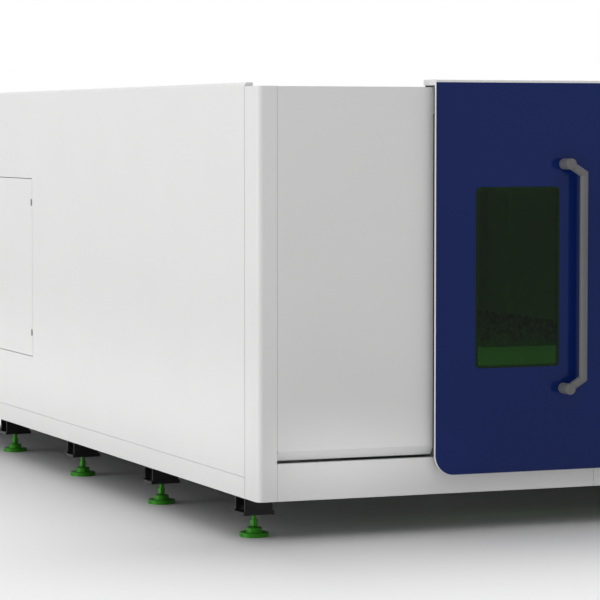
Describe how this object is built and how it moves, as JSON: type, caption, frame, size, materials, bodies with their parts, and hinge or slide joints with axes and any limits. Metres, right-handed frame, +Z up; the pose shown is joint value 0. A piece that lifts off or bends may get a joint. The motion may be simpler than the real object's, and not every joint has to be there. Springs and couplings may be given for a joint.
{
  "type": "fiber laser cutting machine",
  "caption": "Fully enclosed fiber laser sheet cutter: long white housing on levelling feet, blue sliding doors with green laser-safety windows, slat table and gantry inside.",
  "frame": {"origin": "on the floor, under the middle of the whole outline", "axes": "+Z up, -Y towards the operator at the sliding doors, +Y along the machine's length to the rear"},
  "size_m": [3.332, 5.772, 2.042],
  "materials": {
    "white_paint": "fine powder coat, satin",
    "blue_paint": "dark blue powder coat, satin",
    "grey_handle": "grey enamel, satin",
    "laser_glass": "dark green laser-safety pane",
    "black_paint": "black paint, satin",
    "clamp_grey": "dark grey paint, matt",
    "green_foot": "bright green enamel",
    "frame_paint": "grey primer, matt",
    "bed_paint": "grey machine paint",
    "bright_steel": "ground",
    "plain_steel": "bare sheet",
    "magnet_cover": "stainless cover strip",
    "gantry_aluminium": "clear anodised",
    "motor_black": "black, matt",
    "head_housing": "light grey enamel",
    "copper_tip": "machined copper"
  },
  "bodies": {
    "machine": {"front_corner_columns": "white_paint", "rear_corner_columns": "white_paint", "front_panels": "white_paint", "kick_plates": "white_paint", "side_panel_left": "white_paint", "side_panel_right": "white_paint", "side_skirts": "white_paint", "rear_panel": "white_paint", "rear_skirt": "white_paint", "roof_panel": "white_paint", "roof_rails": "white_paint", "foot_brackets": "black_paint", "levelling_pads": "green_foot", "levelling_studs": "green_foot", "base_rails": "frame_paint", "base_cross_members": "frame_paint", "enclosure_posts": "frame_paint", "top_frame": "frame_paint", "front_header": "frame_paint", "bed_beams": "bed_paint", "bed_front_plate": "bed_paint", "bed_rear_plate": "bed_paint", "table_frame": "bed_paint", "door_rail": "bright_steel", "hatch_hinge_brackets": "bright_steel", "hatch_hinge_pins": "bright_steel", "levelling_nuts": "bright_steel", "y_guide_rails": "bright_steel", "table_slats": "plain_steel", "slag_trough": "plain_steel", "exhaust_spigot": "plain_steel", "y_magnet_tracks": "magnet_cover", "laser_source": "head_housing"},
    "left_door": {"left_door_tray": "white_paint", "left_door_facing": "blue_paint", "left_door_hood": "white_paint", "left_door_window": "laser_glass", "left_door_handle": "grey_handle", "left_door_runners": "bright_steel", "left_window_clamp": "clamp_grey"},
    "right_door": {"right_door_tray": "white_paint", "right_door_facing": "blue_paint", "right_door_hood": "white_paint", "right_door_window": "laser_glass", "right_door_handle": "grey_handle", "right_door_runners": "bright_steel", "right_window_clamp": "clamp_grey"},
    "hatch": {"hatch_leaf": "white_paint", "hatch_pull": "black_paint"},
    "gantry": {"gantry_guide_blocks": "bright_steel", "gantry_motor_coils": "motor_black", "gantry_saddles": "gantry_aluminium", "gantry_beam": "gantry_aluminium", "x_guide_rails": "bright_steel", "x_magnet_track": "magnet_cover"},
    "x_carriage": {"head_carriage": "gantry_aluminium", "z_axis_drive": "motor_black"},
    "z_head": {"cutting_head": "head_housing", "cutting_nozzle": "copper_tip"}
  },
  "joints": [
    {"name": "left_door_slide", "type": "slide", "parent": "machine", "child": "left_door", "axis": [-1, 0, 0], "range_m": [0, 0.74]},
    {"name": "right_door_slide", "type": "slide", "parent": "machine", "child": "right_door", "axis": [1, 0, 0], "range_m": [0, 0.74]},
    {"name": "hatch_hinge", "type": "hinge", "parent": "machine", "child": "hatch", "pos_m": [-1.658, 0.664, 1.069], "axis": [0, 0, 1], "range_deg": [0, 110]},
    {"name": "gantry_travel", "type": "slide", "parent": "machine", "child": "gantry", "axis": [0, 1, 0], "range_m": [-3.05, 0]},
    {"name": "carriage_travel", "type": "slide", "parent": "gantry", "child": "x_carriage", "axis": [1, 0, 0], "range_m": [-0.78, 0.78]},
    {"name": "head_travel", "type": "slide", "parent": "x_carriage", "child": "z_head", "axis": [0, 0, -1], "range_m": [0, 0.12]}
  ]
}
